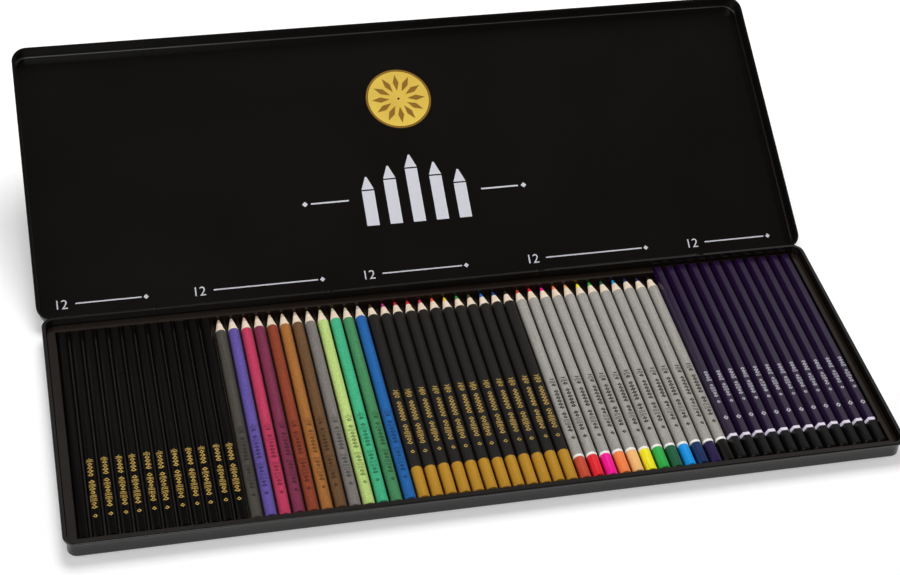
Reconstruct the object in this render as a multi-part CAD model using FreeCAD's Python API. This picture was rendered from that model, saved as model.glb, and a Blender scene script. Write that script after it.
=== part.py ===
import FreeCAD, Part
import math
import os

# A hinged tin of sixty pencils, in millimetres. X runs along the tin, -Y is the front, Z is up.
# The origin is the middle of the flat underside of the base. The lid is built open, as it stands in use.

# Pencils
pencils_per_set = 12
pencil_diameter = 7.2
pencil_spacing = 1.1        # air between two neighbours
pencil_length = 176.0       # sharpened pencils and charcoal pencils
drawing_length = 181.0      # six-sided drawing pencils, not sharpened
drawing_flats = 6.8         # across two opposite flats
cone_length = 13.0
tip_diameter = 1.3
colour_lead = 3.3
graphite_lead = 2.2
charcoal_lead = 4.0
glue_gap = 0.03             # glue film between a lead and its casing
end_bevel = 0.5             # softened edge of a plain pencil end
dipped_end_round = 1.2      # domed edge of a drawing pencil's dipped end

# Tray
tray_sheet = 0.6
tray_floor = 0.6            # least thickness under a groove
groove_clearance = 0.15
end_clearance = 0.55
ridge_height = 2.7          # ridge between two grooves, over the tray's underside
flange_height = 7.5         # top of the flange, over the tray's underside
side_flange = 5.0
front_flange = 5.6
rear_flange = 1.2           # behind the drawing pencils, which reach furthest back

# Tin sheet, base and rim
sheet = 0.5
tray_clearance = 0.5
base_height = 13.0
floor_radius = 1.0          # inside radius where a wall meets the floor or the lid's panel
bead_reach = 2.0            # how far the rolled rim stands out from the wall
bead_height = 2.0
rolled_ratio = 0.45         # rounding of a rolled edge over its thickness
corner_radius = 5.5         # inside corner of the base, seen from above
notch_width = 5.0           # break in the rear rim at each end of a hinge

# Lid
lid_clearance = 0.4
lid_overlap = 3.5           # how far the closed lid comes down over the rim
open_angle = 153.5
table_gap = 0.3             # under the rear edge of the open lid
hem_reach = 1.4
hem_height = 1.6
panel_border = 4.0          # flat border round the raised field of the lid's panel
panel_raise = 0.5

# Hinges
hinge_length = 112.0
hinge_inset = 73.0          # from the end of the tin to the outer end of each hinge
knuckle_count = 5           # in each hinge, base and lid by turns
knuckle_gap = 0.5
notch_clearance = 0.5       # between a base knuckle and the lid's cut-out round it
hem_break = 1.5             # from a hinge to the end of the lid's hem
pin_diameter = 1.6
pin_clearance = 0.05

# Pencil sets from left to right, with a plain name for each pencil
metallic_names = ["pewter", "violet", "pink", "maroon", "copper", "ochre", "bronze", "silver", "lime",
                  "emerald", "green", "blue"]
watercolour_names = ["brown", "magenta", "red", "scarlet", "crimson", "orange", "yellow", "green",
                     "olive", "blue", "navy", "black"]
artist_names = ["brick", "red", "magenta", "orange", "peach", "yellow", "green", "pine", "cyan", "navy",
                "indigo", "black"]
charcoal_per_node = 2       # identical charcoal pencils share nodes in twos
set_count = 5
drawing_set = set_count - 1

# Sizes that follow from the ones above
pencil_radius = pencil_diameter / 2
pitch = pencil_diameter + pencil_spacing
pencil_total = set_count * pencils_per_set
drawing_radius = drawing_flats / math.sqrt(3)

tray_base = sheet
ridge_top = tray_base + ridge_height
flange_top = tray_base + flange_height
pocket_half = pencil_total * pitch / 2
pocket_length = pencil_length + 2 * end_clearance
drawing_pocket_length = drawing_length + 2 * end_clearance
drawing_pocket_start = pocket_half - pencils_per_set * pitch
tray_width = 2 * (pocket_half + side_flange)
tray_depth = front_flange + drawing_pocket_length + rear_flange
pocket_front = front_flange - tray_depth / 2
pencil_front = pocket_front + end_clearance

inner_width = tray_width + 2 * tray_clearance
inner_depth = tray_depth + 2 * tray_clearance
wall_width = inner_width + 2 * sheet
wall_depth = inner_depth + 2 * sheet
base_width = wall_width + 2 * bead_reach
base_depth = wall_depth + 2 * bead_reach

lid_inner_width = base_width + 2 * lid_clearance
lid_inner_depth = base_depth + 2 * lid_clearance
lid_width = lid_inner_width + 2 * sheet
lid_depth = lid_inner_depth + 2 * sheet
lid_inner_radius = corner_radius + sheet + bead_reach + lid_clearance

pin_radius = pin_diameter / 2
bore_radius = pin_radius + pin_clearance
knuckle_radius = bore_radius + sheet
hinge_y = lid_inner_depth / 2 + knuckle_radius
hinge_z = base_height - lid_overlap
hinge_place = base_width / 2 - hinge_inset - hinge_length / 2
knuckle_length = (hinge_length - (knuckle_count - 1) * knuckle_gap) / knuckle_count

# The open lid leans back until the edge behind its hinge stands just over the table.
open_turn = math.radians(open_angle)
lid_edge = hinge_y - lid_depth / 2
lid_height = (hinge_z - table_gap + lid_edge * math.sin(open_turn)) / -math.cos(open_turn)
lid_top = hinge_z + lid_height

x_axis = FreeCAD.Vector(1, 0, 0)
y_axis = FreeCAD.Vector(0, 1, 0)
same_level = 1e-6


def block(low, high):
    """Box between two opposite corners."""
    size = [b - a for a, b in zip(low, high)]
    return Part.makeBox(*size, FreeCAD.Vector(*low))


def rounded_block(width, depth, radius, low, high):
    """Upright block centred on the origin, with round corners seen from above."""
    shape = block((-width / 2, -depth / 2, low), (width / 2, depth / 2, high))
    corners = [e for e in shape.Edges if e.BoundBox.ZLength > same_level]
    return shape.makeFillet(radius, corners)


def soften(shape, radius, level):
    """Rounds every edge that lies flat at the given height."""
    flat = [e for e in shape.Edges if e.BoundBox.ZLength < same_level]
    return shape.makeFillet(radius, [e for e in flat if abs(e.BoundBox.ZMin - level) < same_level])


def rim(width, depth, radius, low, high, reach):
    """Solid block with a rolled outer edge, to be hollowed by its wall's inside."""
    roll = min(high - low, reach) * rolled_ratio
    shape = rounded_block(width, depth, radius, low, high)
    return soften(soften(shape, roll, low), roll, high)


def rod(radius, length, x, y, z, axis):
    """Cylinder that starts at the given point."""
    return Part.makeCylinder(radius, length, FreeCAD.Vector(x, y, z), axis)


def hinge_starts():
    """Left end of each hinge."""
    return [side * hinge_place - hinge_length / 2 for side in (-1, 1)]


def knuckle_starts(first):
    """Left end of every second knuckle of both hinges, from the given one on."""
    step = knuckle_length + knuckle_gap
    return [x + i * step for x in hinge_starts() for i in range(first, knuckle_count, 2)]


def base_knuckles(shape):
    """Curls tabs of the rear wall out under the lid's edge and round the hinge pins."""
    strap_low = hinge_z - knuckle_radius
    for x in knuckle_starts(0):
        strap = block((x, inner_depth / 2, strap_low), (x + knuckle_length, hinge_y, strap_low + sheet))
        shape = shape.fuse([strap, rod(knuckle_radius, knuckle_length, x, hinge_y, hinge_z, x_axis)])
    bores = [rod(bore_radius, hinge_length, x, hinge_y, hinge_z, x_axis) for x in hinge_starts()]
    return shape.cut(bores)


def base_tin():
    """Drawn base with a rolled rim, notched at the ends of the hinges."""
    outer_radius = corner_radius + sheet
    wall = soften(rounded_block(wall_width, wall_depth, outer_radius, 0, base_height), floor_radius + sheet, 0)
    bead = rim(base_width, base_depth, outer_radius + bead_reach, base_height - bead_height, base_height,
               bead_reach)
    notches = []
    for start in hinge_starts():
        for x in (start, start + hinge_length):
            notches.append(block((x - notch_width / 2, wall_depth / 2, base_height - bead_height),
                                 (x + notch_width / 2, base_depth / 2, base_height)))
    inside = rounded_block(inner_width, inner_depth, corner_radius, sheet, base_height)
    shape = wall.fuse(bead.cut(notches)).cut(soften(inside, floor_radius, sheet))
    return base_knuckles(shape)


def lid_knuckles(shape):
    """Clears the rear hem for the hinges, cuts round the base knuckles and adds the lid's own."""
    rear = lid_depth / 2
    cuts = []
    for x in hinge_starts():
        cuts.append(block((x - hem_break, rear, hinge_z),
                          (x + hinge_length + hem_break, rear + hem_reach, hinge_z + hem_height)))
    for x in knuckle_starts(0):
        cuts.append(block((x - knuckle_gap, lid_inner_depth / 2, hinge_z),
                          (x + knuckle_length + knuckle_gap, rear, hinge_z + knuckle_radius + notch_clearance)))
    tubes = [rod(knuckle_radius, knuckle_length, x, hinge_y, hinge_z, x_axis) for x in knuckle_starts(1)]
    bores = [rod(bore_radius, hinge_length, x, hinge_y, hinge_z, x_axis) for x in hinge_starts()]
    return shape.cut(cuts).fuse(tubes).cut(bores)


def lid_tin():
    """Drawn lid with a hem and a raised field, built closed and then swung open."""
    outer_radius = lid_inner_radius + sheet
    panel_inside = lid_top - sheet
    shell = rounded_block(lid_width, lid_depth, outer_radius, hinge_z, lid_top)
    shell = soften(shell, floor_radius + sheet, lid_top)
    hem = rim(lid_width + 2 * hem_reach, lid_depth + 2 * hem_reach, outer_radius + hem_reach, hinge_z,
              hinge_z + hem_height, hem_reach)
    inside = rounded_block(lid_inner_width, lid_inner_depth, lid_inner_radius, hinge_z, panel_inside)
    field_width = lid_inner_width - 2 * panel_border
    field_depth = lid_inner_depth - 2 * panel_border
    field = rounded_block(field_width, field_depth, corner_radius, lid_top, lid_top + panel_raise)
    dish = rounded_block(field_width - 2 * sheet, field_depth - 2 * sheet, corner_radius - sheet, panel_inside,
                         panel_inside + panel_raise)
    shape = shell.fuse([hem, field]).cut([soften(inside, floor_radius, panel_inside), dish])
    shape = lid_knuckles(shape)
    shape.rotate(FreeCAD.Vector(0, hinge_y, hinge_z), x_axis, -open_angle)
    return shape


def hinge_pin(start):
    """Steel wire through the knuckles of one hinge."""
    return rod(pin_radius, hinge_length, start, hinge_y, hinge_z, x_axis)


def pencil_x(number):
    """Middle of a pencil, counted from the left."""
    return (number + 0.5) * pitch - pocket_half


def axis_height(radius):
    """Height of a pencil's middle over its groove."""
    return tray_base + tray_floor + groove_clearance + radius


def pencil_groove(number):
    """Round channel that one pencil lies in."""
    is_drawing = number // pencils_per_set == drawing_set
    radius = drawing_radius if is_drawing else pencil_radius
    length = drawing_pocket_length if is_drawing else pocket_length
    return rod(radius + groove_clearance, length, pencil_x(number), pocket_front, axis_height(radius), y_axis)


def pencil_tray():
    """Formed tray: flange, two pockets side by side, and a groove under every pencil."""
    ends = [(-pocket_half, drawing_pocket_start, pocket_length),
            (drawing_pocket_start, pocket_half, drawing_pocket_length)]
    flange_radius = corner_radius - tray_clearance
    shape = rounded_block(tray_width, tray_depth, flange_radius, flange_top - tray_sheet, flange_top)
    pockets = []
    for left, right, length in ends:
        rear = pocket_front + length
        tub = block((left - tray_sheet, pocket_front - tray_sheet, tray_base),
                    (right + tray_sheet, rear + tray_sheet, flange_top))
        shape = shape.fuse(tub)
        pockets.append(block((left, pocket_front, ridge_top), (right, rear, flange_top)))
    grooves = Part.makeCompound([pencil_groove(n) for n in range(pencil_total)])
    return shape.cut(pockets).cut(grooves)


def turned(profile):
    """Round solid about the Y axis from its half outline of radius and length."""
    points = [FreeCAD.Vector(radius, along, 0) for radius, along in profile]
    return Part.Face(Part.makePolygon(points + points[:1])).revolve(FreeCAD.Vector(), y_axis, 360)


def sharpened_pencil():
    """Round casing and coloured lead, with the cone at the rear."""
    lead = colour_lead / 2
    tip = tip_diameter / 2
    shoulder = pencil_length - cone_length
    bore = lead + glue_gap
    taper = cone_length / (pencil_radius - tip)
    bare = pencil_length - taper * (lead - tip)
    casing = turned([(bore, 0), (pencil_radius - end_bevel, 0), (pencil_radius, end_bevel),
                     (pencil_radius, shoulder), (bore, pencil_length - taper * (bore - tip))])
    core = turned([(0, 0), (lead, 0), (lead, bare), (tip, pencil_length), (0, pencil_length)])
    return [casing, core]


def charcoal_pencil():
    """Round casing and thick charcoal core, plain at both ends."""
    lead = charcoal_lead / 2
    bore = lead + glue_gap
    casing = turned([(bore, 0), (pencil_radius - end_bevel, 0), (pencil_radius, end_bevel),
                     (pencil_radius, pencil_length - end_bevel), (pencil_radius - end_bevel, pencil_length),
                     (bore, pencil_length)])
    return [casing, rod(lead, pencil_length, 0, 0, 0, y_axis)]


def drawing_pencil():
    """Six-sided casing with a flat on top, domed dipped end at the front, and graphite core."""
    lead = graphite_lead / 2
    corners = [math.radians(60 * i) for i in range(6)]
    points = [FreeCAD.Vector(drawing_radius * math.cos(a), 0, drawing_radius * math.sin(a)) for a in corners]
    prism = Part.Face(Part.makePolygon(points + points[:1])).extrude(y_axis * drawing_length)
    dome = turned([(0, 0), (drawing_radius - dipped_end_round, 0), (drawing_radius, dipped_end_round),
                   (drawing_radius, drawing_length), (0, drawing_length)])
    bore = rod(lead + glue_gap, drawing_length, 0, 0, 0, y_axis)
    return [prism.common(dome).cut(bore), rod(lead, drawing_length, 0, 0, 0, y_axis)]


def placed(solids, number, radius):
    """Copies of a pencil's solids, lying in the groove with the given number."""
    shift = FreeCAD.Vector(pencil_x(number), pencil_front, axis_height(radius))
    return [solid.translated(shift) for solid in solids]


def pencil_nodes():
    """Every pencil node by name, as separate solids lying in their grooves."""
    nodes = {}
    charcoal = charcoal_pencil()
    for first in range(0, pencils_per_set, charcoal_per_node):
        numbers = range(first, min(first + charcoal_per_node, pencils_per_set))
        solids = [s for n in numbers for s in placed(charcoal, n, pencil_radius)]
        nodes["charcoal_pencils_%02d_%02d" % (numbers[0] + 1, numbers[-1] + 1)] = solids
    coloured = sharpened_pencil()
    sets = [("metallic", metallic_names), ("watercolour", watercolour_names), ("artist", artist_names)]
    for order, (kind, names) in enumerate(sets, start=1):
        for i, name in enumerate(names):
            number = order * pencils_per_set + i
            nodes["%s_pencil_%s" % (kind, name)] = placed(coloured, number, pencil_radius)
    graphite = drawing_pencil()
    for i in range(pencils_per_set):
        number = drawing_set * pencils_per_set + i
        nodes["drawing_pencil_%02d" % (i + 1)] = placed(graphite, number, drawing_radius)
    return nodes


def save(name, solids):
    """Writes one node's solids to its own file."""
    Part.makeCompound(solids).exportStep("parts/%s.step" % name)


os.makedirs("parts", exist_ok=True)
left_start, right_start = hinge_starts()
save("base_tin", base_tin().Solids)
save("lid_tin", lid_tin().Solids)
save("pencil_tray", pencil_tray().Solids)
save("left_hinge_pin", hinge_pin(left_start).Solids)
save("right_hinge_pin", hinge_pin(right_start).Solids)
for node, solids in pencil_nodes().items():
    save(node, solids)
print("tin", round(base_width, 2), "x", round(base_depth, 2), "x", base_height, "lid", round(lid_height, 2))
print("hinge axis y", round(hinge_y, 3), "z", round(hinge_z, 3))
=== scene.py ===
import math
import bpy
from mathutils import Matrix, Vector


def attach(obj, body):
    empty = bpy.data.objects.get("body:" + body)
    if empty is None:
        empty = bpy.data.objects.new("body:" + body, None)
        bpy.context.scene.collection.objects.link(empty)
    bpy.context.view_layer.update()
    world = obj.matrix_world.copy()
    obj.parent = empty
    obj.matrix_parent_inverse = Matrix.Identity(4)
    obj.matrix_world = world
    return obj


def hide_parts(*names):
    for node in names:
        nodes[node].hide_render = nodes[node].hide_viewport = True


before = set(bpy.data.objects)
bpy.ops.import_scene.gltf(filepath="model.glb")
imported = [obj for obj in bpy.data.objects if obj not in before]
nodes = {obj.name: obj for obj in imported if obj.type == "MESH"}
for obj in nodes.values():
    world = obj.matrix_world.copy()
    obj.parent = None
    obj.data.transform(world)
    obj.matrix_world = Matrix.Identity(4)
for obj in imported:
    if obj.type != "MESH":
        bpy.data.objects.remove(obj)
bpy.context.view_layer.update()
scene = bpy.context.scene
print("frame loaded:", len(nodes), "nodes")

millimetres = 1000      # in a metre
hair = 1e-5             # metres: a face this near to a limit counts as past it
fine = 1e-6             # metres: points nearer than this are at the same place
pastEnd = 1.0           # metres: beyond the end of any pencil


# short names for steps that are taken again and again

def clearSelection():
    bpy.ops.object.select_all(action="DESELECT")


def pickOnly(piece):
    clearSelection()
    piece.select_set(True)
    bpy.context.view_layer.objects.active = piece


def applyPlace():
    bpy.ops.object.transform_apply(location=True, rotation=True, scale=True)


def editMesh():
    bpy.ops.object.mode_set(mode="EDIT")


def leaveMesh():
    bpy.ops.object.mode_set(mode="OBJECT")


def selectMesh(action):
    bpy.ops.mesh.select_all(action=action)


def faceOutwards():
    selectMesh("SELECT")
    bpy.ops.mesh.normals_make_consistent(inside=False)


# small builders for node trees

def newMaterial(name):
    material = bpy.data.materials.new(name)
    material.use_nodes = True
    tree = material.node_tree
    return material, tree, tree.nodes["Principled BSDF"]


def plug(tree, socket, value):
    if hasattr(value, "is_linked"):
        tree.links.new(value, socket)
    else:
        socket.default_value = value


def calc(tree, operation, a, b=0.0):
    node = tree.nodes.new("ShaderNodeMath")
    node.operation = operation
    plug(tree, node.inputs[0], a)
    plug(tree, node.inputs[1], b)
    return node.outputs[0]


def ramp(tree, value, low, high, start=0.0, end=1.0):
    node = tree.nodes.new("ShaderNodeMapRange")
    plug(tree, node.inputs["Value"], value)
    node.inputs["From Min"].default_value = low
    node.inputs["From Max"].default_value = high
    node.inputs["To Min"].default_value = start
    node.inputs["To Max"].default_value = end
    return node.outputs["Result"]


def band(tree, value, low, high, soft):
    rising = ramp(tree, value, low - soft, low + soft)
    falling = ramp(tree, value, high - soft, high + soft, 1.0, 0.0)
    return calc(tree, "MULTIPLY", rising, falling)


def blendColour(tree, factor, a, b):
    node = tree.nodes.new("ShaderNodeMix")
    node.data_type = "RGBA"
    plug(tree, node.inputs["Factor"], factor)
    plug(tree, node.inputs["A"], a)
    plug(tree, node.inputs["B"], b)
    return node.outputs["Result"]


def noise(tree, scale, detail=2.0, stretch=(1, 1, 1)):
    place = tree.nodes.new("ShaderNodeTexCoord")
    mapping = tree.nodes.new("ShaderNodeMapping")
    mapping.inputs["Scale"].default_value = stretch
    texture = tree.nodes.new("ShaderNodeTexNoise")
    texture.inputs["Scale"].default_value = scale
    texture.inputs["Detail"].default_value = detail
    tree.links.new(place.outputs["Object"], mapping.inputs["Vector"])
    tree.links.new(mapping.outputs["Vector"], texture.inputs["Vector"])
    return texture.outputs["Fac"]


def bump(tree, shader, height, strength, distance):
    node = tree.nodes.new("ShaderNodeBump")
    node.inputs["Strength"].default_value = strength
    node.inputs["Distance"].default_value = distance
    tree.links.new(height, node.inputs["Height"])
    tree.links.new(node.outputs["Normal"], shader.inputs["Normal"])


# screen colour to the linear one that shaders take, by the sRGB formula
def hexColour(text):
    levels = [int(text[i:i + 2], 16) / 255 for i in (0, 2, 4)]
    linear = [v / 12.92 if v < 0.04045 else ((v + 0.055) / 1.055) ** 2.4 for v in levels]
    return (*linear, 1.0)


def shaded(colour, gain):
    return (*[min(1.0, v * gain) for v in colour[:3]], 1.0)


speckSpan = (0.2, 0.8)      # the part of the noise that sways the roughness
coatRoughness = 0.12


# a surface of one finish, with a fine unevenness in its colour and roughness
def plainFinish(name, colour, roughness, grain, spread, sway=0.06, coat=0.0, metallic=0.0):
    material, tree, shader = newMaterial(name)
    tone = hexColour(colour) if isinstance(colour, str) else colour
    speck = noise(tree, grain)
    mottled = blendColour(tree, speck, shaded(tone, 1 - spread), shaded(tone, 1 + spread))
    tree.links.new(mottled, shader.inputs["Base Color"])
    uneven = ramp(tree, speck, *speckSpan, roughness - sway, roughness + sway)
    tree.links.new(uneven, shader.inputs["Roughness"])
    shader.inputs["Coat Weight"].default_value = coat
    shader.inputs["Coat Roughness"].default_value = coatRoughness
    shader.inputs["Metallic"].default_value = metallic
    return material


# tin, tray and hinge pins keep their CAD meshes and get their finishes here
tinLook = {
    "colour": "0f0c09", "roughness": 0.22, "gloss": 0.7,
    "cloudScale": 14.0, "cloudSpan": (0.3, 0.7), "spread": 0.15, "sway": 0.04,
    "peelScale": 900.0, "peel": 0.04, "peelDepth": 0.0002,
}
trayLook = {"colour": "1c140f", "roughness": 0.22, "grain": 60.0, "spread": 0.15, "sway": 0.03}
pinLook = {
    "colour": "8d8d90", "roughness": 0.35, "metallic": 1.0,
    "grain": 1500.0, "spread": 0.1, "sway": 0.08,
}


def makeTinFinish():
    material, tree, shader = newMaterial("satinBlackLacquer")
    colour, spread = hexColour(tinLook["colour"]), tinLook["spread"]
    cloud = noise(tree, tinLook["cloudScale"])
    tone = blendColour(tree, cloud, shaded(colour, 1 - spread), shaded(colour, 1 + spread))
    tree.links.new(tone, shader.inputs["Base Color"])
    rough, sway = tinLook["roughness"], tinLook["sway"]
    uneven = ramp(tree, cloud, *tinLook["cloudSpan"], rough - sway, rough + sway)
    tree.links.new(uneven, shader.inputs["Roughness"])
    shader.inputs["Specular IOR Level"].default_value = tinLook["gloss"]
    bump(tree, shader, noise(tree, tinLook["peelScale"]), tinLook["peel"], tinLook["peelDepth"])
    return material


def dressNode(name, material):
    mesh = nodes[name].data
    if mesh.materials:
        for i in range(len(mesh.materials)):
            mesh.materials[i] = material
    else:
        mesh.materials.append(material)


satinBlack = makeTinFinish()
trayPlastic = plainFinish("formedBlackPlastic", **trayLook)
pinSteel = plainFinish("drawnSteelWire", **pinLook)
for name in ("base_tin", "lid_tin"):
    dressNode(name, satinBlack)
dressNode("pencil_tray", trayPlastic)
for name in ("left_hinge_pin", "right_hinge_pin"):
    dressNode(name, pinSteel)
print("tin, tray and pins finished")

# pencil sizes in metres, matching the grooves of the tray
# an edge is a list of pairs: distance from the end, and how far the surface lies inside its full radius there
pencilShape = {
    "radius": 0.0036, "length": 0.176, "cone": 0.013, "tip": 0.00065, "lead": 0.00165, "sides": 28,
    "frontEdge": [(0.0, 0.0008), (0.00008, 0.00045), (0.0003, 0.00015), (0.0007, 0.0)],
    "lacquerEdge": 0.00004, "pointEdge": [(0.00035, -0.00004), (0.00008, 0.0001), (0.0, 0.00026)],
    "pitch": 0.0083, "perSet": 12, "count": 60, "lift": 0.00125, "front": -0.0883, "smoothAngle": 28,
}

# stamp on a barrel: chains of lozenges and stroke pairs with pauses, measured on the barrel in millimetres
# a row holds its start, its end, half its height, the step, and the number of steps from pause to pause
stampMotif = {
    "leastReach": 0.7, "slope": 2.1, "lozengeSoft": 0.06, "lozengeShare": 0.7,
    "strokes": (0.12, 0.3), "strokeSoft": 0.03, "endSoft": 0.02,
}


def stampMask(tree, rows, hollow):
    place = tree.nodes.new("ShaderNodeUVMap")
    place.uv_map = "barrel"
    split = tree.nodes.new("ShaderNodeSeparateXYZ")
    tree.links.new(place.outputs["UV"], split.inputs["Vector"])
    across = calc(tree, "ABSOLUTE", split.outputs["X"])
    along = split.outputs["Y"]
    total = None
    for start, end, height, step, pause in rows:
        count = calc(tree, "DIVIDE", calc(tree, "SUBTRACT", along, start), step)
        index = calc(tree, "FLOOR", count)
        middle = calc(tree, "ABSOLUTE", calc(tree, "SUBTRACT", calc(tree, "FRACT", count), 0.5))
        chance = tree.nodes.new("ShaderNodeTexWhiteNoise")
        chance.noise_dimensions = "1D"
        tree.links.new(index, chance.inputs["W"])
        draw = chance.outputs["Value"]
        reach = ramp(tree, draw, 0.0, 1.0, height * stampMotif["leastReach"], height)
        # an outlined lozenge, or a pair of strokes, at each step
        slope = calc(tree, "MULTIPLY", middle, stampMotif["slope"])
        spread = calc(tree, "ADD", calc(tree, "DIVIDE", across, reach), slope)
        lozenge = band(tree, spread, hollow, 1.0, stampMotif["lozengeSoft"])
        stroke = band(tree, middle, *stampMotif["strokes"], stampMotif["strokeSoft"])
        strokes = calc(tree, "MULTIPLY", stroke, calc(tree, "LESS_THAN", across, reach))
        picked = calc(tree, "GREATER_THAN", draw, stampMotif["lozengeShare"])
        row = calc(tree, "ADD", calc(tree, "MULTIPLY", lozenge, calc(tree, "SUBTRACT", 1.0, picked)),
                   calc(tree, "MULTIPLY", strokes, picked))
        # a pause after so many steps, and nothing past the ends of the row
        phase = calc(tree, "MODULO", calc(tree, "ADD", index, 1.0), pause)
        row = calc(tree, "MULTIPLY", row, calc(tree, "GREATER_THAN", phase, 0.5))
        row = calc(tree, "MULTIPLY", row, band(tree, along, start, end, stampMotif["endSoft"]))
        total = row if total is None else calc(tree, "MAXIMUM", total, row)
    return total


# lacquered barrel: streaks of the wood and fine flecks, under the stamp
barrelTexture = {
    "streakScale": 60.0, "streakDetail": 3.0, "streakStretch": (18, 0.6, 18), "streakSpread": 0.12,
    "fleckScale": 1100.0, "fleckDetail": 1.0, "span": (0.3, 0.7),
    "lightFleck": 3.0, "darkFleck": 0.2, "darkShare": 2.0, "stampRoughness": 0.4,
}


def barrelFinish(name, colour, stamp, rows, hollow, roughness, gloss, grain, stampMetal):
    material, tree, shader = newMaterial(name)
    look = barrelTexture
    streak = noise(tree, look["streakScale"], look["streakDetail"], look["streakStretch"])
    pale, deep = shaded(colour, 1 + look["streakSpread"]), shaded(colour, 1 - look["streakSpread"])
    lacquer = blendColour(tree, ramp(tree, streak, *look["span"]), deep, pale)
    fleck = ramp(tree, noise(tree, look["fleckScale"], look["fleckDetail"]), *look["span"])
    light = calc(tree, "MULTIPLY", fleck, grain)
    lacquer = blendColour(tree, light, lacquer, shaded(colour, look["lightFleck"]))
    dark = calc(tree, "MULTIPLY", calc(tree, "SUBTRACT", 1.0, fleck), grain * look["darkShare"])
    lacquer = blendColour(tree, dark, lacquer, shaded(colour, look["darkFleck"]))
    mask = stampMask(tree, rows, hollow)
    tree.links.new(blendColour(tree, mask, lacquer, stamp), shader.inputs["Base Color"])
    rough = ramp(tree, mask, 0.0, 1.0, roughness, look["stampRoughness"])
    tree.links.new(rough, shader.inputs["Roughness"])
    if stampMetal:
        tree.links.new(ramp(tree, mask, 0.0, 1.0, 0.0, stampMetal), shader.inputs["Metallic"])
    shader.inputs["Specular IOR Level"].default_value = gloss
    return material


cedarLook = {
    "dark": "e0c4a2", "light": "fbefdf", "roughness": 0.75,
    "scale": 90.0, "detail": 4.0, "stretch": (8, 0.5, 8), "relief": 0.2, "depth": 0.0002,
}


def woodFinish():
    material, tree, shader = newMaterial("bareCedar")
    grain = noise(tree, cedarLook["scale"], cedarLook["detail"], cedarLook["stretch"])
    tone = blendColour(tree, grain, hexColour(cedarLook["dark"]), hexColour(cedarLook["light"]))
    tree.links.new(tone, shader.inputs["Base Color"])
    shader.inputs["Roughness"].default_value = cedarLook["roughness"]
    bump(tree, shader, grain, cedarLook["relief"], cedarLook["depth"])
    return material


# one pencil, modelled with its axis on Y: rings are drawn out from the front end one by one
def drawnPencil(name, sides, profile, turn=0.0):
    clearSelection()
    bpy.ops.mesh.primitive_circle_add(vertices=sides, radius=profile[0][1], fill_type="NGON",
                                      location=(0, profile[0][0], 0), rotation=(math.radians(90), turn, 0))
    piece = bpy.context.object
    piece.name = name
    applyPlace()
    editMesh()
    selectMesh("SELECT")
    for (y0, r0), (y1, r1) in zip(profile, profile[1:]):
        bpy.ops.mesh.extrude_region_move(TRANSFORM_OT_translate={"value": (0, y1 - y0, 0)})
        if abs(r1 - r0) > fine:
            bpy.ops.transform.resize(value=(r1 / r0, 1, r1 / r0), center_override=(0, y1, 0))
    faceOutwards()
    leaveMesh()
    return piece


# arc from the top of the barrel and distance from the front end, in millimetres
def mapBarrel(piece):
    mesh = piece.data
    layer = mesh.uv_layers.new(name="barrel")
    reach = pencilShape["radius"] * millimetres
    for face in mesh.polygons:
        middle = math.atan2(face.center.x, face.center.z)
        for loop in face.loop_indices:
            spot = mesh.vertices[mesh.loops[loop].vertex_index].co
            swing = math.atan2(spot.x, spot.z) - middle
            swing = (swing + math.pi) % (2 * math.pi) - math.pi
            layer.data[loop].uv = ((middle + swing) * reach, spot.y * millimetres)


# materials by stretches along the pencil, each up to its distance from the pencil's front end
def paintStretches(piece, stretches, front=0.0):
    mesh = piece.data
    mesh.materials.clear()
    for _, material in stretches:
        mesh.materials.append(material)
    for face in mesh.polygons:
        for i, (limit, _) in enumerate(stretches):
            if face.center.y < front + limit - hair:
                face.material_index = i
                break


# front end with a soft edge, then the barrel at the given stations
def frontProfile(radius, edge, stations):
    return [(y, radius - depth) for y, depth in edge] + [(y, radius) for y in stations]


def sharpenedProfile(stations):
    length, cone = pencilShape["length"], pencilShape["cone"]
    radius, lead, tip = pencilShape["radius"], pencilShape["lead"], pencilShape["tip"]
    bare = length - cone * (lead - tip) / (radius - tip)
    shoulder = length - cone
    step = pencilShape["lacquerEdge"]
    rear = [(shoulder - step, radius), (shoulder, radius - step), (bare, lead)]
    rear += [(length - back, tip - depth) for back, depth in pencilShape["pointEdge"]]
    return frontProfile(radius, pencilShape["frontEdge"], stations) + rear, shoulder, bare


def makeCopy(source, name, number, turn=0.0, nudge=0.0, height=pencilShape["radius"]):
    piece = source.copy()
    piece.data = source.data.copy()
    piece.name = name
    scene.collection.objects.link(piece)
    x = (number + 0.5 - pencilShape["count"] / 2) * pencilShape["pitch"]
    z = pencilShape["lift"] + height
    place = Matrix.Translation((x, pencilShape["front"] + nudge, z)) @ Matrix.Rotation(turn, 4, "Y")
    piece.data.transform(place)
    return piece


# small differences from pencil to pencil: turn about the axis in degrees, shift along it in millimetres
looseness = {
    "turns": (4, -7, 2, 9, -3, 6, -10, 1, 5, -5, 8, -2),
    "shifts": (0.1, -0.2, 0.25, 0.0, -0.1, 0.3, -0.25, 0.15),
}


def loose(number):
    turns, shifts = looseness["turns"], looseness["shifts"]
    return math.radians(turns[number % len(turns)]), shifts[number % len(shifts)] / millimetres


def settle(piece, node):
    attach(piece, node)
    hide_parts(node)
    pickOnly(piece)
    bpy.ops.object.shade_smooth_by_angle(angle=math.radians(pencilShape["smoothAngle"]))


# the one pencil that a sharpened set is copied from, with its shoulder and the foot of its bare lead
def sharpenedSource(name, stations):
    profile, shoulder, bare = sharpenedProfile(stations)
    source = drawnPencil(name, pencilShape["sides"], profile)
    mapBarrel(source)
    sources.append(source)
    return source, shoulder, bare


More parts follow.
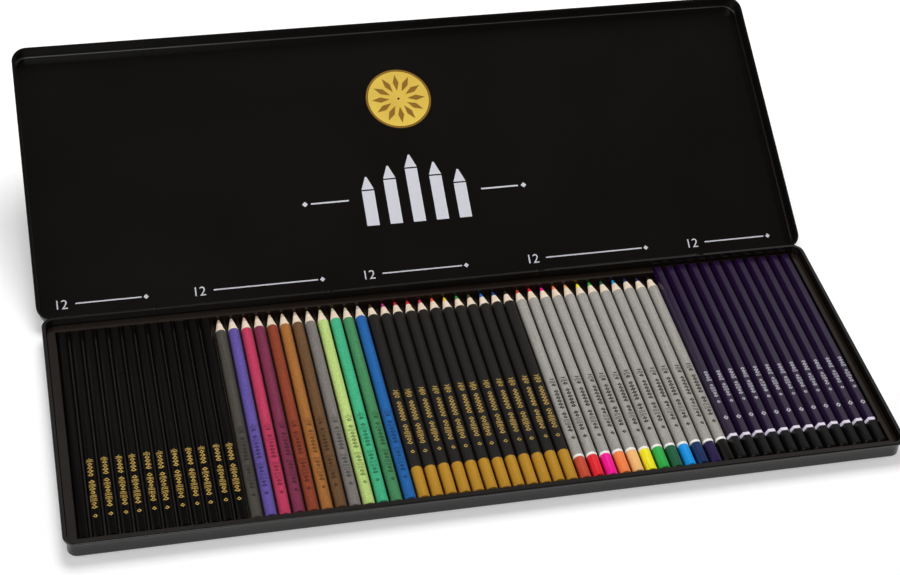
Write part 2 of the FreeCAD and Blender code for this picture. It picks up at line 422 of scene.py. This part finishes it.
def addSharpened(source, kind, name, number, stretches):
    turn, nudge = loose(number)
    piece = makeCopy(source, kind + "Pencil" + name.capitalize(), number, turn, nudge)
    paintStretches(piece, stretches, pencilShape["front"] + nudge)
    node = kind + "_pencil_" + name
    settle(piece, node)


cedar = woodFinish()
foilGold = hexColour("d2ac58")
sources = []

# charcoal pencils: black with gold foil, cut square at the rear, two in a node
charcoal = {
    "lacquer": "0a0807", "lead": 0.002, "rearEdge": [(0.0004, 0.0), (0.0001, 0.0001), (0.0, 0.0004)],
    "perNode": 2, "leftTurn": 140,      # the leftmost one lies with its stamp turned away
    "barrel": {"roughness": 0.34, "gloss": 0.25, "hollow": 0.5, "grain": 0.06, "stampMetal": 0.2,
               "rows": [(21, 62, 2.3, 2.9, 9), (14, 17, 1.7, 3.0, 9)]},
    "core": {"colour": "1a1918", "roughness": 0.85, "grain": 900.0, "spread": 0.3},
}


def makeCharcoal():
    radius, length = pencilShape["radius"], pencilShape["length"]
    lacquer = barrelFinish("charcoalLacquer", hexColour(charcoal["lacquer"]), foilGold, **charcoal["barrel"])
    core = plainFinish("charcoalCore", **charcoal["core"])
    profile = frontProfile(radius, pencilShape["frontEdge"], [])
    profile += [(length - back, radius - depth) for back, depth in charcoal["rearEdge"]]
    profile.append((length, charcoal["lead"]))
    source = drawnPencil("charcoalSource", pencilShape["sides"], profile)
    mapBarrel(source)
    sources.append(source)
    mesh = source.data
    for material in (lacquer, cedar, core):
        mesh.materials.append(material)
    woodSlot, coreSlot = 1, 2
    for face in mesh.polygons:
        if face.center.y > length - hair:
            face.material_index = coreSlot if len(face.vertices) > 4 else woodSlot
    for number in range(pencilShape["perSet"]):
        first = number - number % charcoal["perNode"]
        node = "charcoal_pencils_%02d_%02d" % (first + 1, first + charcoal["perNode"])
        turn, nudge = loose(number)
        if number == 0:
            turn = math.radians(charcoal["leftTurn"])
        piece = makeCopy(source, "charcoalPencil%02d" % (number + 1), number, turn, nudge)
        settle(piece, node)


# metallic pencils: one lacquer to the end, with a darker stamp
metallic = {
    "order": 1,     # sets that lie to the left of this one
    "stampShade": 0.3, "leadPale": "d9c3a6", "leadTint": 0.3,
    "barrel": {"roughness": 0.5, "gloss": 0.3, "hollow": 0.25, "grain": 0.12, "stampMetal": 0.0,
               "rows": [(22, 75, 2.3, 2.9, 8), (15.5, 18.5, 1.7, 3.0, 9)]},
    "lead": {"roughness": 0.5, "grain": 1200.0, "spread": 0.1},
    "colours": [("pewter", "4b4741"), ("violet", "6252a0"), ("pink", "c23a5c"), ("maroon", "7b304a"),
                ("copper", "8c4029"), ("ochre", "a66a33"), ("bronze", "6b4d31"), ("silver", "7c7672"),
                ("lime", "c2de7e"), ("emerald", "44b684"), ("green", "47885a"), ("blue", "2263aa")],
}


def makeMetallic():
    source, shoulder, bare = sharpenedSource("metallicSource", [])
    tint, base = metallic["leadTint"], hexColour(metallic["leadPale"])
    for i, (name, colour) in enumerate(metallic["colours"]):
        tone = hexColour(colour)
        stamp = shaded(tone, metallic["stampShade"])
        lacquer = barrelFinish(name + "MetallicLacquer", tone, stamp, **metallic["barrel"])
        pale = tuple(tint * t + (1 - tint) * b for t, b in zip(tone, base))
        lead = plainFinish(name + "MetallicLead", pale, **metallic["lead"])
        addSharpened(source, "metallic", name, metallic["order"] * pencilShape["perSet"] + i,
                     [(shoulder, lacquer), (bare, cedar), (pastEnd, lead)])


# watercolour pencils: matte black, gold foil and a gold dipped end
watercolour = {
    "order": 2, "lacquer": "242220", "dipLength": 0.0245,
    "barrel": {"roughness": 0.55, "gloss": 0.3, "hollow": 0.57, "grain": 0.08, "stampMetal": 0.2,
               "rows": [(43, 91, 2.3, 2.9, 7), (35.2, 38.2, 1.7, 3.0, 9)]},
    "dip": {"colour": "c08d26", "roughness": 0.45, "metallic": 0.1,
            "grain": 900.0, "spread": 0.14, "sway": 0.05},
    "lead": {"roughness": 0.6, "grain": 1200.0, "spread": 0.1},
    "colours": [("brown", "4a2f22"), ("magenta", "b0357a"), ("red", "c2202e"), ("scarlet", "d9302a"),
                ("crimson", "c43a55"), ("orange", "e0582a"), ("yellow", "e9c52a"), ("green", "3f8f45"),
                ("olive", "4b4a22"), ("blue", "2c62b0"), ("navy", "22407c"), ("black", "2a211c")],
}


def makeWatercolour():
    dip = watercolour["dipLength"]
    source, shoulder, bare = sharpenedSource("watercolourSource", [dip])
    black = hexColour(watercolour["lacquer"])
    lacquer = barrelFinish("watercolourLacquer", black, foilGold, **watercolour["barrel"])
    gold = plainFinish("goldDip", **watercolour["dip"])
    for i, (name, colour) in enumerate(watercolour["colours"]):
        lead = plainFinish(name + "WatercolourLead", colour, **watercolour["lead"])
        addSharpened(source, "watercolour", name, watercolour["order"] * pencilShape["perSet"] + i,
                     [(dip, gold), (shoulder, lacquer), (bare, cedar), (pastEnd, lead)])


# artist pencils: silver grey, a white ring and a dipped end in the colour of the lead
artist = {
    "order": 3, "lacquer": "a39f98", "stamp": "1f1d1c", "dipLength": 0.0172, "ringLength": 0.0020,
    "barrel": {"roughness": 0.38, "gloss": 0.3, "hollow": 0.25, "grain": 0.1, "stampMetal": 0.0,
               "rows": [(38, 86, 2.2, 2.9, 7), (31.5, 34.5, 1.7, 3.0, 9)]},
    "ring": {"colour": "f6f4f0", "roughness": 0.4, "grain": 900.0, "spread": 0.05},
    "dip": {"roughness": 0.35, "grain": 500.0, "spread": 0.05, "sway": 0.04, "coat": 0.1},
    "lead": {"roughness": 0.55, "grain": 1200.0, "spread": 0.1}, "leadShade": 0.9,
    "colours": [("brick", "c74b30"), ("red", "ea2430"), ("magenta", "ff0898"), ("orange", "ff8848"),
                ("peach", "ffc27a"), ("yellow", "fff020"), ("green", "30b04c"), ("pine", "226040"),
                ("cyan", "0898ea"), ("navy", "18305e"), ("indigo", "291e4a"), ("black", "161412")],
}


def makeArtist():
    dip = artist["dipLength"]
    ring = dip + artist["ringLength"]
    source, shoulder, bare = sharpenedSource("artistSource", [dip, ring])
    silver, stamp = hexColour(artist["lacquer"]), hexColour(artist["stamp"])
    grey = barrelFinish("silverGreyLacquer", silver, stamp, **artist["barrel"])
    white = plainFinish("whiteRing", **artist["ring"])
    for i, (name, colour) in enumerate(artist["colours"]):
        dipped = plainFinish(name + "Dip", colour, **artist["dip"])
        leadTone = shaded(hexColour(colour), artist["leadShade"])
        lead = plainFinish(name + "Lead", leadTone, **artist["lead"])
        addSharpened(source, "artist", name, artist["order"] * pencilShape["perSet"] + i,
                     [(dip, dipped), (ring, white), (shoulder, grey), (bare, cedar), (pastEnd, lead)])


# drawing pencils: six-sided, dark plum, silver stamp, pale ring and black cap
drawing = {
    "order": 4, "lacquer": "1f0b2f", "silver": "c6c2cc",
    "sides": 6, "turn": 30, "flats": 0.0068, "length": 0.181, "lead": 0.0011, "coreMargin": 0.0003,
    "capLength": 0.0182, "ringLength": 0.0024, "edge": 0.0003, "edgeSteps": 6,
    "frontEdge": [(0.0, 0.0012), (0.0003, 0.0006), (0.0007, 0.0002), (0.0012, 0.0)],
    "barrel": {"roughness": 0.2, "gloss": 1.0, "hollow": 0.45, "grain": 0.04, "stampMetal": 0.2,
               "rows": [(53, 77, 1.7, 2.4, 6), (47.5, 50.3, 1.4, 2.8, 9), (32.5, 36.5, 1.8, 4.0, 9)]},
    "cap": {"colour": "0a0908", "roughness": 0.35, "grain": 500.0, "spread": 0.1, "sway": 0.05, "coat": 0.2},
    "ring": {"colour": "e6deee", "roughness": 0.4, "grain": 900.0, "spread": 0.05},
    "core": {"colour": "3b3c3f", "roughness": 0.45, "metallic": 0.5,
             "grain": 900.0, "spread": 0.2, "sway": 0.05},
}


def makeDrawing():
    flats, length = drawing["flats"], drawing["length"]
    corner = flats / math.sqrt(3)
    cap = drawing["capLength"]
    ring = cap + drawing["ringLength"]
    profile = frontProfile(corner, drawing["frontEdge"], [cap, ring, length])
    source = drawnPencil("drawingSource", drawing["sides"], profile, math.radians(drawing["turn"]))
    mesh = source.data
    # soften all the edges
    editMesh()
    bpy.ops.mesh.select_mode(type="EDGE")
    selectMesh("SELECT")
    bpy.ops.mesh.bevel(offset=drawing["edge"], segments=drawing["edgeSteps"], affect="EDGES")
    # set the core off from the wood on the rear face
    bpy.ops.mesh.select_mode(type="FACE")
    selectMesh("DESELECT")
    leaveMesh()
    for face in mesh.polygons:
        face.select = face.center.y > length - fine
    editMesh()
    bpy.ops.mesh.inset(thickness=flats / 2 - drawing["lead"] - drawing["coreMargin"], depth=0.0)
    leaveMesh()
    mapBarrel(source)
    sources.append(source)
    purple, silver = hexColour(drawing["lacquer"]), hexColour(drawing["silver"])
    plum = barrelFinish("plumLacquer", purple, silver, **drawing["barrel"])
    black = plainFinish("blackCap", **drawing["cap"])
    pale = plainFinish("paleRing", **drawing["ring"])
    graphite = plainFinish("graphiteCore", **drawing["core"])
    paintStretches(source, [(cap, black), (ring, pale), (length, plum), (pastEnd, cedar)])
    coreSlot = len(mesh.materials)
    mesh.materials.append(graphite)
    for face in mesh.polygons:
        if face.center.y > length - fine and Vector((face.center.x, face.center.z)).length < hair:
            face.material_index = coreSlot
    for i in range(pencilShape["perSet"]):
        number = drawing["order"] * pencilShape["perSet"] + i
        nudge = loose(number)[1]
        piece = makeCopy(source, "drawingPencil%02d" % (i + 1), number, 0.0, nudge, corner)
        settle(piece, "drawing_pencil_%02d" % (i + 1))


makeCharcoal()
makeMetallic()
makeWatercolour()
makeArtist()
makeDrawing()
for source in sources:
    bpy.data.objects.remove(source)
print("pencils made")

# print on the inside of the lid: laid out flat as it is read, then carried onto the open panel
lidPrint = {
    "hinge": (0.0992, 0.0095), "angle": 153.5, "panel": 0.020204, "skin": 0.00005,
    "white": {"colour": "d6d6de", "roughness": 0.5, "grain": 300.0, "spread": 0.02},
    "dark": {"colour": "8c6519", "roughness": 0.5, "grain": 300.0, "spread": 0.05},
}


def carryToLid(piece):
    y, z = lidPrint["hinge"]
    hinge = Matrix.Translation((0, y, z))
    swing = hinge @ Matrix.Rotation(-math.radians(lidPrint["angle"]), 4, "X") @ hinge.inverted()
    flip = Matrix.Translation((0, 0, lidPrint["panel"])) @ Matrix.Rotation(math.pi, 4, "X")
    piece.data.transform(swing @ flip)
    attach(piece, "lid")


# thin printed skin from a flat shape lying on the panel
def printSkin(piece, name, material):
    pickOnly(piece)
    applyPlace()
    editMesh()
    selectMesh("SELECT")
    bpy.ops.mesh.remove_doubles(threshold=fine)
    bpy.ops.mesh.normals_make_consistent(inside=False)
    bpy.ops.mesh.extrude_region_move(TRANSFORM_OT_translate={"value": (0, 0, lidPrint["skin"])})
    faceOutwards()
    leaveMesh()
    piece.name = name
    piece.data.materials.clear()
    piece.data.materials.append(material)
    carryToLid(piece)


def joined(pieces):
    clearSelection()
    for piece in pieces:
        piece.select_set(True)
    bpy.context.view_layer.objects.active = pieces[0]
    bpy.ops.object.join()
    return bpy.context.object


def flatBar(left, right, middle, height):
    clearSelection()
    bpy.ops.mesh.primitive_plane_add(size=1.0, location=((left + right) / 2, middle, 0))
    bpy.context.object.scale = (right - left, height, 1.0)
    applyPlace()
    return bpy.context.object


def flatLozenge(x, y, width, height):
    clearSelection()
    bpy.ops.mesh.primitive_circle_add(vertices=4, radius=0.5, fill_type="NGON", location=(x, y, 0))
    bpy.context.object.scale = (width, height, 1.0)
    applyPlace()
    return bpy.context.object


def flatNumber(text, x, y, size, curveSteps):
    clearSelection()
    bpy.ops.object.text_add(location=(x, y, 0))
    number = bpy.context.object
    number.data.body = text
    number.data.size = size
    number.data.resolution_u = curveSteps
    bpy.ops.object.convert(target="MESH")
    applyPlace()
    return bpy.context.object


def flatRing(x, y, inner, outer, sides):
    clearSelection()
    bpy.ops.mesh.primitive_circle_add(vertices=sides, radius=outer, fill_type="NGON", location=(x, y, 0))
    ring = bpy.context.object
    applyPlace()
    editMesh()
    selectMesh("SELECT")
    bpy.ops.mesh.inset(thickness=outer - inner, depth=0.0)
    bpy.ops.mesh.delete(type="FACE")
    leaveMesh()
    return ring


# round seal: a gold field with a dark rim and a rosette of lozenges
seal = {
    "middle": (0.0, 0.044), "radius": 0.0214, "hole": 0.0008, "rim": (0.0003, 0.0014), "sides": 72,
    "petals": 12, "petalSize": (0.0042, 0.0125), "petalReach": 0.0125,
    "gold": "d6b048", "highlight": "f2d65a", "roughness": 0.45, "sheenScale": 22.0, "sheenSpan": (0.3, 0.7),
}


def sealFinish():
    material, tree, shader = newMaterial("goldInk")
    sheen = ramp(tree, noise(tree, seal["sheenScale"]), *seal["sheenSpan"])
    tone = blendColour(tree, sheen, hexColour(seal["gold"]), hexColour(seal["highlight"]))
    tree.links.new(tone, shader.inputs["Base Color"])
    shader.inputs["Roughness"].default_value = seal["roughness"]
    return material


def makeSeal(gold, dark):
    x, y = seal["middle"]
    radius, reach = seal["radius"], seal["petalReach"]
    inner, outer = seal["rim"]
    printSkin(flatRing(x, y, seal["hole"], radius, seal["sides"]), "lidSealField", gold)
    printSkin(flatRing(x, y, radius + inner, radius + outer, seal["sides"]), "lidSealRing", dark)
    petals = []
    for i in range(seal["petals"]):
        angle = math.tau * i / seal["petals"]
        petal = flatLozenge(0.0, 0.0, *seal["petalSize"])
        spot = (x + reach * math.sin(angle), y + reach * math.cos(angle), lidPrint["skin"])
        petal.data.transform(Matrix.Translation(spot) @ Matrix.Rotation(-angle, 4, "Z"))
        petals.append(petal)
    printSkin(joined(petals), "lidSealPetals", dark)


# five upright pencil signs, each by its place and height, and a rule to either side
pencilSigns = {
    "signs": [(-0.032, 0.026), (-0.016, 0.033), (0.0, 0.040), (0.016, 0.033), (0.032, 0.026)],
    "foot": -0.050, "width": 0.0085,
    "pointGap": 0.001, "pointFoot": 0.005, "pointRise": 0.0045, "pointWidth": 0.12,
    "ruleReach": (0.046, 0.072), "ruleRow": -0.030, "ruleHeight": 0.0011, "endGap": 0.004, "endSize": 0.004,
}


# a barrel, and a point that stands a little clear of it
def flatPencil(x, height):
    foot, half = pencilSigns["foot"], pencilSigns["width"] / 2
    barrel = flatBar(x - half, x + half, foot + height / 2, height)
    pointMiddle = foot + height + pencilSigns["pointGap"] + pencilSigns["pointFoot"] / 2
    point = flatBar(x - half, x + half, pointMiddle, pencilSigns["pointFoot"])
    editMesh()
    bpy.ops.mesh.select_mode(type="VERT")
    selectMesh("DESELECT")
    leaveMesh()
    top = max(v.co.y for v in point.data.vertices)
    for vertex in point.data.vertices:
        vertex.select = vertex.co.y > top - fine
    editMesh()
    bpy.ops.transform.resize(value=(pencilSigns["pointWidth"], 1, 1), center_override=(x, top, 0))
    bpy.ops.transform.translate(value=(0, pencilSigns["pointRise"], 0))
    leaveMesh()
    return [barrel, point]


def makePencilSigns(white):
    shapes = []
    for place, height in pencilSigns["signs"]:
        shapes += flatPencil(place, height)
    near, far = pencilSigns["ruleReach"]
    row, endSize = pencilSigns["ruleRow"], pencilSigns["endSize"]
    for side in (-1, 1):
        left, right = sorted((side * near, side * far))
        shapes.append(flatBar(left, right, row, pencilSigns["ruleHeight"]))
        shapes.append(flatLozenge(side * (far + pencilSigns["endGap"]), row, endSize, endSize))
    printSkin(joined(shapes), "lidPencilSigns", white)


# a plain number and a rule over each set of pencils, from left to right
setMarks = {
    "places": [(-0.2480, -0.1865), (-0.1585, -0.0700), (-0.0455, 0.0280), (0.0675, 0.1545), (0.1810, 0.2430)],
    "number": "12", "size": 0.0092, "row": -0.0885, "curveSteps": 6,
    "ruleInset": (0.014, 0.005), "ruleRise": 0.0032, "ruleHeight": 0.0009,
    "endInset": 0.002, "endSize": 0.0035,
}


def makeSetMarks(white):
    marks = []
    start, end = setMarks["ruleInset"]
    row, endSize = setMarks["row"], setMarks["endSize"]
    rule = row + setMarks["ruleRise"]
    for left, right in setMarks["places"]:
        marks.append(flatNumber(setMarks["number"], left, row, setMarks["size"], setMarks["curveSteps"]))
        marks.append(flatBar(left + start, right - end, rule, setMarks["ruleHeight"]))
        marks.append(flatLozenge(right - setMarks["endInset"], rule, endSize, endSize))
    printSkin(joined(marks), "lidSetMarks", white)


whiteInk = plainFinish("whiteInk", **lidPrint["white"])
makeSeal(sealFinish(), plainFinish("darkGoldInk", **lidPrint["dark"]))
makePencilSigns(whiteInk)
makeSetMarks(whiteInk)
print("lid print laid")

# pale floor, which looks white from afar and keeps the tin's shadow nearby
floorLook = {
    "colour": "f0f0f0", "roughness": 0.9, "speckScale": 3.0, "speckShade": 0.995,
    "size": 30.0, "drop": 0.0002, "lift": 0.26, "liftSpan": (0.45, 1.8),
}


def makeFloor():
    clearSelection()
    bpy.ops.mesh.primitive_plane_add(size=floorLook["size"], location=(0, 0, -floorLook["drop"]))
    floor = bpy.context.object
    floor.name = "paleFloor"
    material, tree, shader = newMaterial("palePaper")
    speck = noise(tree, floorLook["speckScale"])
    tone = hexColour(floorLook["colour"])
    paper = blendColour(tree, speck, shaded(tone, floorLook["speckShade"]), tone)
    tree.links.new(paper, shader.inputs["Base Color"])
    shader.inputs["Roughness"].default_value = floorLook["roughness"]
    rays = tree.nodes.new("ShaderNodeLightPath")
    seen = calc(tree, "MAXIMUM", rays.outputs["Is Camera Ray"], rays.outputs["Is Glossy Ray"])
    seen = calc(tree, "MAXIMUM", seen, rays.outputs["Is Transmission Ray"])
    spot = tree.nodes.new("ShaderNodeTexCoord")
    span = tree.nodes.new("ShaderNodeVectorMath")
    span.operation = "LENGTH"
    tree.links.new(spot.outputs["Object"], span.inputs[0])
    lift = ramp(tree, span.outputs["Value"], *floorLook["liftSpan"], floorLook["lift"], 1.0)
    shader.inputs["Emission Color"].default_value = (1, 1, 1, 1)
    tree.links.new(calc(tree, "MULTIPLY", seen, lift), shader.inputs["Emission Strength"])
    floor.data.materials.append(material)


# studio air: pale low down and dark overhead, with a glow behind the tin that gives the pencils their sheen
# the glow is bounded in X, Y and Z of the sky, cut off towards the lid and dimmed towards the front rim,
# except on its right side, where it keeps one strength
airLook = {
    "horizon": 0.9, "zenith": 0.05, "heightSpan": (0.15, 0.55), "rearSpan": (-0.3, 0.6), "rear": 0.5,
    "glow": 0.65, "glowX": (-0.2, 0.46), "glowY": (0.4, 0.5), "glowZ": (0.52, 0.76), "soft": 0.05,
    "lidSlope": 0.06, "lidSpan": (0.722, 0.742),
    "rimSlope": 0.3, "rimSpan": (0.74, 0.79), "rimShare": 0.25,
    "rightSpan": (0.27, 0.31), "rightShare": 0.7,
}


def makeWorld():
    world = bpy.data.worlds.new("studioAir")
    scene.world = world
    world.use_nodes = True
    tree = world.node_tree
    background = tree.nodes["Background"]
    background.inputs["Color"].default_value = (1, 1, 1, 1)
    rays = tree.nodes.new("ShaderNodeLightPath")
    sky = tree.nodes.new("ShaderNodeTexCoord")
    split = tree.nodes.new("ShaderNodeSeparateXYZ")
    tree.links.new(sky.outputs["Generated"], split.inputs["Vector"])
    x, y, z = (split.outputs[axis] for axis in "XYZ")
    air = ramp(tree, z, *airLook["heightSpan"], airLook["horizon"], airLook["zenith"])
    air = calc(tree, "MULTIPLY", air, ramp(tree, y, *airLook["rearSpan"], 1.0, airLook["rear"]))
    glow = calc(tree, "MULTIPLY", band(tree, x, *airLook["glowX"], airLook["soft"]),
                band(tree, z, *airLook["glowZ"], airLook["soft"]))
    glow = calc(tree, "MULTIPLY", glow, ramp(tree, y, *airLook["glowY"], 0.0, airLook["glow"]))
    lidward = calc(tree, "ADD", y, calc(tree, "MULTIPLY", x, airLook["lidSlope"]))
    rimward = calc(tree, "ADD", z, calc(tree, "MULTIPLY", x, airLook["rimSlope"]))
    left = calc(tree, "MULTIPLY", ramp(tree, lidward, *airLook["lidSpan"], 1.0, 0.0),
                ramp(tree, rimward, *airLook["rimSpan"], 1.0, airLook["rimShare"]))
    rightward = ramp(tree, x, *airLook["rightSpan"])
    share = calc(tree, "ADD", calc(tree, "MULTIPLY", left, calc(tree, "SUBTRACT", 1.0, rightward)),
                 calc(tree, "MULTIPLY", rightward, airLook["rightShare"]))
    air = calc(tree, "ADD", air, calc(tree, "MULTIPLY", glow, share))
    tree.links.new(calc(tree, "MAXIMUM", air, rays.outputs["Is Camera Ray"]), background.inputs["Strength"])


# soft lamps aimed at the tin; those that aren't mirrored leave no bright square in the lacquer
lampAim = (0.0, 0.0, 0.02)
softboxes = {
    "keySoftbox": {"place": (0.12, 0.8, 1.5), "size": (0.9, 0.9), "power": 20.0, "mirrored": False},
    "frontSoftbox": {"place": (-0.3, -0.95, 1.4), "size": (0.8, 0.5), "power": 5.0, "mirrored": True},
    "rightSoftbox": {"place": (1.5, -0.2, 0.9), "size": (1.0, 0.8), "power": 4.3, "mirrored": False},
    "leftSoftbox": {"place": (-1.5, -0.2, 0.9), "size": (1.0, 0.8), "power": 4.5, "mirrored": True},
}


def addSoftbox(name, place, size, power, mirrored):
    lamp = bpy.data.lights.new(name, "AREA")
    lamp.shape = "RECTANGLE"
    lamp.size, lamp.size_y = size
    lamp.energy = power
    box = bpy.data.objects.new(name, lamp)
    scene.collection.objects.link(box)
    box.location = place
    box.visible_glossy = mirrored
    box.rotation_euler = (Vector(lampAim) - Vector(place)).to_track_quat("-Z", "Y").to_euler()


# angles in degrees; the focal length is in pixels of an image of that width
photoCamera = {
    "place": (-0.25518, -0.87341, 0.87258), "azimuth": 15.31164, "elevation": 40.77543, "roll": 4.41868,
    "focal": 1997.294, "imageWidth": 900, "sensor": 36.0,
}


def makeCamera():
    data = bpy.data.cameras.new("photoCamera")
    camera = bpy.data.objects.new("photoCamera", data)
    scene.collection.objects.link(camera)
    data.sensor_width = photoCamera["sensor"]
    data.lens = photoCamera["focal"] / photoCamera["imageWidth"] * photoCamera["sensor"]
    turn, rise, roll = (math.radians(photoCamera[k]) for k in ("azimuth", "elevation", "roll"))
    ahead = Vector((math.sin(turn) * math.cos(rise), math.cos(turn) * math.cos(rise), -math.sin(rise)))
    level = ahead.cross(Vector((0, 0, 1))).normalized()
    upright = level.cross(ahead)
    right = level * math.cos(roll) + upright * math.sin(roll)
    up = upright * math.cos(roll) - level * math.sin(roll)
    pose = Matrix((right, up, -ahead)).transposed().to_4x4()
    pose.translation = photoCamera["place"]
    camera.matrix_world = pose
    scene.camera = camera


makeFloor()
makeWorld()
for name, lamp in softboxes.items():
    addSoftbox(name, **lamp)
makeCamera()
scene.view_settings.view_transform = "Standard"
print("stage set")
